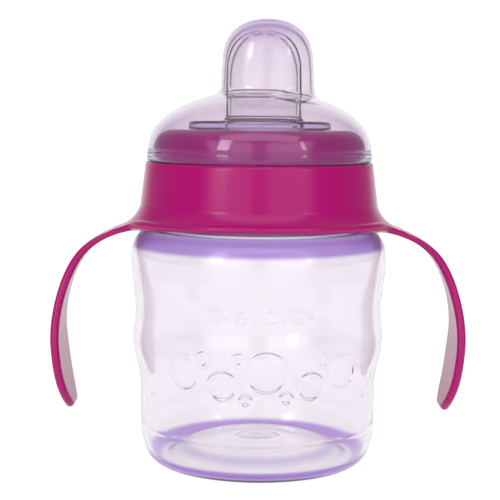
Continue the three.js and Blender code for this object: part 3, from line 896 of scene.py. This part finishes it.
# ------------ valve
def make_valve():
    """A small cup whose outer rim sits in the spout's foot."""
    bottom, top = VALVE_BOTTOM_Z, VALVE_TOP_Z
    rim_low, rim_high = FLANGE_Z - VALVE_RIM, FLANGE_Z - GAP
    rim_r = VALVE_R + VALVE_RIM
    outline = chain(
        bezier([(0, bottom), (4.6, bottom + 0.1), (5.6, bottom + 0.9),
                (VALVE_CUP_R, bottom + 2)], 12),
        line((VALVE_CUP_R, bottom + 2), (VALVE_CUP_R, rim_low - 0.2), 6),
        line((VALVE_CUP_R + 0.2, rim_low), (rim_r - 0.2, rim_low), 5),
        bezier([(rim_r - 0.2, rim_low), (rim_r, rim_low), (rim_r, rim_low + 0.3)], 4),
        line((rim_r, rim_high - 0.2), (rim_r - 0.2, rim_high)),
        line((VALVE_R + 0.1, rim_high), (VALVE_R, rim_high + 0.1)),
        line((VALVE_R, rim_high + 0.1), (VALVE_R, top - 0.3), 6),
        bezier([(VALVE_R, top - 0.3), (VALVE_R, top), (VALVE_R - 0.3, top)], 4),
        line((VALVE_R - 1.2, top), (VALVE_R - 1.4, top - 0.2)),
        line((VALVE_R - 1.5, top - 0.6), (VALVE_BORE_R + 0.1, FLANGE_Z + 0.2), 6),
        line((VALVE_BORE_R, FLANGE_Z), (VALVE_BORE_R, bottom + 2.4), 6),
        bezier([(VALVE_BORE_R, bottom + 2.4), (4.6, bottom + 1.4), (2, bottom + 1),
                (0, bottom + 1)], 10),
    )
    return turned("valve_soft", outline, circle_angles(96))


# ------------ cap
def cap_side(shrink, n):
    """The dome's curve, from the cap's side up to the flat top round the chimney."""
    side_r = CAP_R - 0.2 - shrink
    return bezier([(side_r, CAP_SIDE_Z), (CAP_R - 1.2 - shrink, 99 - shrink),
                   (24.5, 103.2 - shrink), (CAP_FLAT_R, CAP_FLAT_Z - shrink)], n)


def cap_dome(shrink):
    """The dome's height as a function of the radius."""
    side = chain(
        line((CAP_R - shrink, CAP_BOTTOM_Z), (CAP_R - 0.2 - shrink, CAP_SIDE_Z), 4),
        cap_side(shrink, 90),
        line((CAP_FLAT_R, CAP_FLAT_Z - shrink), (0, CAP_CROWN_Z - shrink), 4),
    )
    order = np.argsort(side[:, 0])
    radii, heights = side[order, 0], side[order, 1]
    return lambda r: np.interp(r, radii, heights)


def cap_shell(angles, shrink):
    """Rings of the cap's outer or inner face, from the top down to just above the rim."""
    taper = chain(
        bezier([(0, 1), (0.62, 1), (0.93, 0.78), (0.965, 0.42)], 26),
        line((0.965, 0.42), (0.985, 0.22), 6),
        line((0.985, 0.22), (1.0, 0), 6),
    )[1:]
    half_x = CAP_HALF_X + CAP_CHIMNEY_FLARE - shrink
    half_y = CAP_HALF_Y + CAP_CHIMNEY_FLARE - shrink
    rings = tower_rows(angles, CAP_X, half_x, half_y, taper, CAP_TOP_Z - shrink * 1.7,
                       cap_dome(shrink), CAP_FILLET + shrink, CAP_PLATE_R - shrink, 16)
    curve = cap_side(shrink, 120)[::-1]
    side = curve[curve[:, 0] > CAP_PLATE_R + 0.1 - shrink][::2]
    return rings + [ring_at(angles, r, z) for r, z in side]


def make_cap():
    angles = circle_angles(160)
    low = CAP_BOTTOM_Z
    inner_r = CAP_R - CAP_WALL
    bead_r = inner_r - CAP_BEAD
    rim = chain(
        line((CAP_R - 0.2, 90.6), (CAP_R - 0.15, 89.9), 3),
        bezier([(CAP_R - 0.15, 89.9), (CAP_R, 89.6), (CAP_R, 89.0)], 4),
        line((CAP_R, 89.0), (CAP_R, low + 0.4), 3),
        bezier([(CAP_R, low + 0.4), (CAP_R, low), (CAP_R - 0.4, low)], 5),
        line((CAP_R - 0.4, low), (inner_r + 0.1, low)),
        bezier([(inner_r + 0.1, low), (inner_r - CAP_BEAD * 0.2, low + 0.4), (bead_r, 88.6),
                (bead_r, 89.1)], 6),
        bezier([(bead_r, 89.1), (bead_r, 89.8), (inner_r - 0.2, 90.1), (inner_r - 0.2, 90.8)], 6),
    )
    outer = cap_shell(angles, 0.0)
    inner = cap_shell(angles, CAP_WALL)
    return skin("cap_clear", outer + [ring_at(angles, r, z) for r, z in rim] + inner[::-1])


# ------------ materials
def new_material(name):
    mat = bpy.data.materials.new(name)
    mat.use_nodes = True
    return mat, mat.node_tree.nodes, mat.node_tree.links, mat.node_tree.nodes["Principled BSDF"]


def preset(node, values):
    """Sets sockets that have one value all over."""
    for name, value in values.items():
        node.inputs[name].default_value = value


def noise(nodes, links, scale, detail=3.0):
    """Noise on the object's own coordinates, in metres."""
    place = nodes.new("ShaderNodeTexCoord")
    node = nodes.new("ShaderNodeTexNoise")
    preset(node, {"Scale": scale, "Detail": detail})
    links.new(place.outputs["Object"], node.inputs["Vector"])
    return node.outputs["Fac"]


def mapped(nodes, links, value, low, high, to_low=0.0, to_high=1.0, smooth=False):
    """to_low where the value is low, to_high where it is high, and a steady change between."""
    node = nodes.new("ShaderNodeMapRange")
    if smooth:
        node.interpolation_type = "SMOOTHSTEP"
    preset(node, {"From Min": low, "From Max": high, "To Min": to_low, "To Max": to_high})
    links.new(value, node.inputs["Value"])
    return node.outputs["Result"]


NOISE_LOW = 0.3
NOISE_HIGH = 0.7


def ranged(nodes, links, value, low, high):
    """A noise's usual values spread from low to high."""
    return mapped(nodes, links, value, NOISE_LOW, NOISE_HIGH, low, high)


def blended(nodes, links, value, low, high):
    """A colour between two, by a value from 0 to 1."""
    node = nodes.new("ShaderNodeMix")
    node.data_type = "RGBA"
    links.new(value, node.inputs["Factor"])
    preset(node, {"A": (*low, 1), "B": (*high, 1)})
    return node.outputs["Result"]


def combined(nodes, links, operation, values):
    """The values put together two by two with one operation."""
    total = values[0]
    for value in values[1:]:
        node = nodes.new("ShaderNodeMath")
        node.operation = operation
        links.new(total, node.inputs[0])
        links.new(value, node.inputs[1])
        total = node.outputs["Value"]
    return total


def bumped(nodes, links, value, strength, distance, shader):
    """Gives the shader slight waves that follow the value."""
    node = nodes.new("ShaderNodeBump")
    preset(node, {"Strength": strength, "Distance": distance})
    links.new(value, node.inputs["Height"])
    links.new(node.outputs["Normal"], shader.inputs["Normal"])


def stepped(nodes, links, value, stops):
    """A value eased through (size in mm, value) stops, from a length in metres."""
    low, high = stops[0][0], stops[-1][0]
    share = mapped(nodes, links, value, low * MM, high * MM)
    curve = nodes.new("ShaderNodeValToRGB")
    ramp = curve.color_ramp
    ramp.interpolation = "EASE"
    while len(ramp.elements) < len(stops):
        ramp.elements.new(0.5)
    for element, (size, level) in zip(ramp.elements, stops):
        element.position = (size - low) / (high - low)
        element.color = (level, level, level, 1)
    links.new(share, curve.inputs["Fac"])
    return curve.outputs["Color"]


def by_height(nodes, links, stops):
    """A value by height on the piece."""
    place = nodes.new("ShaderNodeTexCoord")
    split = nodes.new("ShaderNodeSeparateXYZ")
    links.new(place.outputs["Object"], split.inputs["Vector"])
    return stepped(nodes, links, split.outputs["Z"], stops)


def by_radius(nodes, links, stops):
    """A value by distance from the cup's axis."""
    place = nodes.new("ShaderNodeTexCoord")
    flat = nodes.new("ShaderNodeVectorMath")
    flat.operation = "MULTIPLY"
    flat.inputs[1].default_value = (1, 1, 0)
    links.new(place.outputs["Object"], flat.inputs[0])
    length = nodes.new("ShaderNodeVectorMath")
    length.operation = "LENGTH"
    links.new(flat.outputs["Vector"], length.inputs[0])
    return stepped(nodes, links, length.outputs["Value"], stops)


WAVE_DEPTH = 0.0004
# over these heights the ring turns to its painted lighter top, a painted highlight for the cap's
# reflection on it
PAINTED_TOP_HEIGHTS = [(86.2, 0.0), (87.4, 1.0)]  # heights between which the ring comes out of the collar


def magenta_plastic(name, shade, light_shade, roughness, painted_top_light=None):
    """Opaque moulded plastic, with a lighter colour painted above the collar, where the cap covers
    it.

    That top colour is a painted highlight standing in for the cap's reflected veil, so with the
    cap off the ring is pinker than the collar.
    """
    mat, nodes, links, shader = new_material(name)
    cloud = noise(nodes, links, scale=60, detail=2)
    grain = noise(nodes, links, scale=400, detail=2)
    colour = blended(nodes, links, cloud, shade, light_shade)
    if painted_top_light:
        # painted highlight: above the collar the ring is painted lighter, in place of the cap's
        # reflected veil
        layer = nodes.new("ShaderNodeMix")
        layer.data_type = "RGBA"
        links.new(by_height(nodes, links, PAINTED_TOP_HEIGHTS), layer.inputs["Factor"])
        links.new(colour, layer.inputs["A"])
        preset(layer, {"B": (*painted_top_light, 1)})
        colour = layer.outputs["Result"]
    links.new(colour, shader.inputs["Base Color"])
    gloss = ranged(nodes, links, grain, roughness * 0.95, roughness * 1.05)
    links.new(gloss, shader.inputs["Roughness"])
    preset(shader, {"IOR": 1.49, "Specular IOR Level": 0.28})
    bumped(nodes, links, cloud, 0.03, WAVE_DEPTH, shader)
    return mat


def clear_plastic(name, pale, deep, tint_and_shade, hazy, absorb, density, roughness, haze, wave, clarity,
                  ior):
    """See-through plastic that goes from pale to deep by tint, and from clear to hazy by hazy.

    Both are stops by height. The tint may have more stops, by distance from the axis, and for the
    heel by both. The deep colour is partly the plastic's own tint where it is thick and partly
    painted shade: it stands in for refraction, reflected parts and long paths through curved walls,
    which make the clear plastic look deeper. absorb and density are the colour and strength of the
    plastic's depth.
    """
    mat, nodes, links, shader = new_material(name)
    cloud = noise(nodes, links, scale=45, detail=3)
    grain = noise(nodes, links, scale=1800, detail=2)
    # the deep colour here is partly the plastic's own tint and partly painted shade and reflection,
    # set by height and radius
    violet_tint_and_shade = by_height(nodes, links, tint_and_shade["height"])
    if "radius" in tint_and_shade:
        heel = combined(nodes, links, "MULTIPLY", [by_height(nodes, links, tint_and_shade["heel_height"]),
                                                   by_radius(nodes, links, tint_and_shade["heel_radius"])])
        floor_ring = by_radius(nodes, links, tint_and_shade["radius"])
        violet_tint_and_shade = combined(nodes, links, "MAXIMUM", [violet_tint_and_shade, floor_ring, heel])
    tinted_and_shaded = blended(nodes, links, violet_tint_and_shade, pale, deep)
    mottle = nodes.new("ShaderNodeMix")
    mottle.data_type = "RGBA"
    mottle.blend_type = "MULTIPLY"
    preset(mottle, {"Factor": 1.0})
    links.new(tinted_and_shaded, mottle.inputs["A"])
    links.new(blended(nodes, links, cloud, (0.985, 0.98, 0.985), (1, 1, 1)), mottle.inputs["B"])
    links.new(mottle.outputs["Result"], shader.inputs["Base Color"])
    blur = nodes.new("ShaderNodeMix")
    links.new(by_height(nodes, links, hazy), blur.inputs["Factor"])
    links.new(ranged(nodes, links, grain, roughness * 0.8, roughness * 1.2), blur.inputs["A"])
    links.new(ranged(nodes, links, grain, haze * 0.9, haze * 1.1), blur.inputs["B"])
    links.new(blur.outputs["Result"], shader.inputs["Roughness"])
    preset(shader, {"IOR": ior, "Transmission Weight": clarity})
    bumped(nodes, links, cloud, wave, WAVE_DEPTH, shader)
    volume = nodes.new("ShaderNodeVolumeAbsorption")
    preset(volume, {"Color": (*absorb, 1), "Density": density})
    links.new(volume.outputs["Volume"], nodes["Material Output"].inputs["Volume"])
    return mat


def silicone():
    """Milky, slightly see-through silicone."""
    mat, nodes, links, shader = new_material("milky_silicone")
    cloud = noise(nodes, links, scale=80, detail=2)
    colour = blended(nodes, links, cloud, (0.84, 0.82, 0.86), (0.9, 0.88, 0.92))
    links.new(colour, shader.inputs["Base Color"])
    gloss = ranged(nodes, links, noise(nodes, links, scale=900), 0.35, 0.5)
    links.new(gloss, shader.inputs["Roughness"])
    preset(shader, {"Transmission Weight": 0.35, "IOR": 1.41})
    bumped(nodes, links, cloud, 0.1, 0.0003, shader)
    return mat


# ------------ pieces on the frame
def place(obj, body, node, slot, mat):
    """Puts a piece on its body, in place of its CAD node."""
    obj.data.materials.append(mat)
    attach(obj, body)
    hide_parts(node)


MAGENTA = (0.352, 0.0, 0.125)
LIGHT_MAGENTA = (0.366, 0.0, 0.131)
# lighter pink painted on the ring's top under the cap: a painted highlight for the cap's reflected
# veil, not the ring's own colour
RING_TOP_PAINTED_LIGHT = (0.50, 0.0, 0.25)
# deeper violet painted on the shoulder band, a ring on the floor and the heel: partly the thick
# plastic's own tint, partly painted shade and reflection where refraction and the magenta collar seen
# through the wall darken the cup
CUP_TINT_AND_SHADE = {
    "height": [(0.0, 0.0), (62.0, 0.0), (63.3, 0.92), (67.0, 0.92), (67.5, 0.1), (90.0, 0.1)],
    "radius": [(0.0, 0.0), (19.0, 0.0), (20.8, 0.45), (22.4, 0.45), (23.6, 0.0), (40.0, 0.0)],
    "heel_height": [(0.0, 1.0), (3.0, 1.0), (4.0, 0.0), (90.0, 0.0)],
    "heel_radius": [(0.0, 0.0), (27.5, 0.0), (29.5, 1.0), (40.0, 1.0)],
}
CUP_HAZE = [(0.0, 0.25), (3.0, 0.25), (4.2, 0.1), (5.2, 0.0), (61.5, 0.0), (63.5, 0.4), (90.0, 0.4)]
# deeper lilac low on the rim and at the chimney's top: partly the thicker plastic's own tint, partly
# painted shade where long paths through the curved wall darken it
CAP_TINT_AND_SHADE = {
    "height": [(89.0, 0.5), (91.0, 0.25), (104.0, 0.08), (109.0, 0.0), (120.0, 0.1), (124.5, 0.3),
               (127.0, 0.7)],
}
CAP_HAZE = [(89.0, 0.3), (91.0, 0.0), (128.0, 0.0)]
# deeper at the disc and at the top: partly the thicker plastic, partly painted shade where light
# turned back inside the thick disc darkens it
SPOUT_TINT_AND_SHADE = {"height": [(97.0, 0.3), (99.4, 0.1), (102.0, 0.0), (122.0, 0.0), (125.0, 0.2)]}
SPOUT_HAZE = [(97.0, 0.5), (99.4, 0.5), (102.0, 0.0), (125.0, 0.0)]

magenta = magenta_plastic("magenta_plastic", MAGENTA, LIGHT_MAGENTA, roughness=0.2)
# the ring's copy of the plastic has its top painted lighter where the cap covers it, as painted light
ring_magenta = magenta_plastic("magenta_ring_plastic", MAGENTA, LIGHT_MAGENTA, roughness=0.32,
                               painted_top_light=RING_TOP_PAINTED_LIGHT)
cup_plastic = clear_plastic(
    "tinted_cup_plastic", pale=(0.957, 0.94, 0.963), deep=(0.46, 0.275, 0.72), tint_and_shade=CUP_TINT_AND_SHADE,
    hazy=CUP_HAZE, absorb=(0.55, 0.25, 0.70), density=28, roughness=0.05, haze=0.36, wave=0.08,
    clarity=0.97, ior=1.45)
cap_plastic = clear_plastic(
    "clear_lilac_plastic", pale=(0.96, 0.93, 0.935), deep=(0.71, 0.55, 0.86), tint_and_shade=CAP_TINT_AND_SHADE,
    hazy=CAP_HAZE, absorb=(0.50, 0.20, 0.71), density=66, roughness=0.02, haze=0.10, wave=0.03,
    clarity=0.995, ior=1.42)
spout_plastic = clear_plastic(
    "clear_spout", pale=(1.0, 0.995, 1.0), deep=(0.92, 0.80, 0.93), tint_and_shade=SPOUT_TINT_AND_SHADE,
    hazy=SPOUT_HAZE, absorb=(0.60, 0.38, 0.80), density=24, roughness=0.04, haze=0.22, wave=0.05,
    clarity=0.98, ior=1.24)

place(make_cup(), "cup", "cup_body", "tinted_cup_plastic", cup_plastic)
place(make_collar(), "handles", "handle_collar", "magenta_plastic", magenta)
place(make_ring(), "ring", "screw_ring", "magenta_plastic", ring_magenta)
place(make_spout(), "lid", "spout", "clear_spout", spout_plastic)
place(make_valve(), "valve", "valve", "white_silicone", silicone())
place(make_cap(), "cap", "cap", "clear_lilac_plastic", cap_plastic)


# ------------ floor, light and camera
FLOOR_HALF = 30.0
FLOOR_GAP = 0.0001
FLOOR_GLOW = 0.95
BACK_LIGHT = 1.04
TOP_LIGHT = 0.65
FRONT_LIGHT = 0.28
BOX_LIGHT = 1.6
BOX_MIDDLE_LIGHT = 0.60
AIM = (0.0, 0.0, 0.07)

CAMERA_DISTANCE = 0.388
EYE_HEIGHT = 0.1034
PITCH_DOWN = 6.2
ROLL = 0.5
EYE_X = -0.0025
LENS = 96.3


def floor_paper():
    """Pale paper that glows a little, so that the floor is as white as the backdrop."""
    mat, nodes, links, shader = new_material("pale_paper")
    grain = noise(nodes, links, scale=900, detail=3)
    colour = blended(nodes, links, grain, (0.15, 0.15, 0.15), (0.16, 0.16, 0.16))
    links.new(colour, shader.inputs["Base Color"])
    links.new(ranged(nodes, links, grain, 0.75, 0.85), shader.inputs["Roughness"])
    preset(shader, {"Specular IOR Level": 0.15, "Emission Color": (1, 1, 1, 1),
                    "Emission Strength": FLOOR_GLOW})
    return mat


def make_floor():
    half, low = FLOOR_HALF, -FLOOR_GAP
    corners = [(-half, -half, low), (half, -half, low), (half, half, low), (-half, half, low)]
    mesh = bpy.data.meshes.new("floor")
    mesh.from_pydata(corners, [], [(0, 1, 2, 3)])
    obj = add_object("floor", mesh)
    obj.data.materials.append(floor_paper())


def eased(nodes, links, value, low, high, to_low, to_high):
    """As mapped, with a smooth change."""
    return mapped(nodes, links, value, low, high, to_low, to_high, smooth=True)


def make_world():
    """A white backdrop that lights the cup from behind and above, dimmer in front.

    A soft light stands in front at each side. The camera sees plain white all round.
    """
    world = bpy.data.worlds.new("studio")
    world.use_nodes = True
    nodes, links = world.node_tree.nodes, world.node_tree.links
    place = nodes.new("ShaderNodeTexCoord")
    split = nodes.new("ShaderNodeSeparateXYZ")
    links.new(place.outputs["Generated"], split.inputs["Vector"])
    x, y, z = (split.outputs[axis] for axis in "XYZ")
    sideways = nodes.new("ShaderNodeMath")
    sideways.operation = "ABSOLUTE"
    links.new(x, sideways.inputs[0])
    x = sideways.outputs["Value"]
    back = eased(nodes, links, y, 0.64, 0.94, FRONT_LIGHT, BACK_LIGHT)
    top = eased(nodes, links, z, 0.42, 0.78, FRONT_LIGHT, TOP_LIGHT)
    boxes = combined(nodes, links, "MULTIPLY", [
        eased(nodes, links, x, 0.06, 0.22, BOX_MIDDLE_LIGHT, BOX_LIGHT),
        *(eased(nodes, links, axis, dark, bright, 0, 1) for axis, dark, bright in (
            (x, 0.86, 0.70), (y, -0.15, -0.50), (z, -0.12, 0.02), (z, 0.62, 0.48))),
    ])
    rays = nodes.new("ShaderNodeLightPath")
    backdrop = eased(nodes, links, rays.outputs["Is Camera Ray"], 0, 1, 0, BACK_LIGHT)
    strength = combined(nodes, links, "MAXIMUM", [back, top, boxes, backdrop])
    links.new(strength, nodes["Background"].inputs["Strength"])
    preset(nodes["Background"], {"Color": (1, 1, 1, 1)})
    bpy.context.scene.world = world


def around(azimuth, elevation, distance):
    """A place seen from AIM: azimuth from the camera's side, positive to the right."""
    a, e = math.radians(azimuth), math.radians(elevation)
    return (distance * math.cos(e) * math.sin(a), -distance * math.cos(e) * math.cos(a),
            AIM[2] + distance * math.sin(e))


def lamp(name, azimuth, elevation, distance, width, height, brightness):
    """A soft box whose face has the given brightness, 1 being the white of the backdrop."""
    place = around(azimuth, elevation, distance)
    data = bpy.data.lights.new(name, "AREA")
    data.shape = "RECTANGLE"
    data.size = width
    data.size_y = height
    data.energy = math.pi * width * height * brightness
    obj = add_object(name, data)
    obj.location = place
    obj.rotation_euler = (Vector(AIM) - Vector(place)).to_track_quat("-Z", "Y").to_euler()


def make_lights():
    make_world()
    lamp("top_box", 0, 48, 0.8, width=1.1, height=0.26, brightness=1.5)
    lamp("left_spark", -38, 24, 0.85, width=0.17, height=0.36, brightness=5.0)
    lamp("right_spark", 46, 24, 0.85, width=0.05, height=0.30, brightness=5.0)


def make_camera():
    data = bpy.data.cameras.new("camera")
    data.lens = LENS
    data.sensor_width = 36.0
    data.clip_start = 0.01
    obj = add_object("camera", data)
    obj.location = (EYE_X, -CAMERA_DISTANCE, EYE_HEIGHT)
    tilt = math.radians(90 - PITCH_DOWN)
    turn = Euler((tilt, 0, 0)).to_matrix() @ Matrix.Rotation(math.radians(ROLL), 3, "Z")
    obj.rotation_euler = turn.to_euler()
    bpy.context.scene.camera = obj


make_floor()
make_lights()
make_camera()

scene = bpy.context.scene
scene.view_settings.view_transform = "Standard"
scene.cycles.max_bounces = 32
scene.cycles.transmission_bounces = 32
scene.cycles.transparent_max_bounces = 16
scene.cycles.use_denoising = True
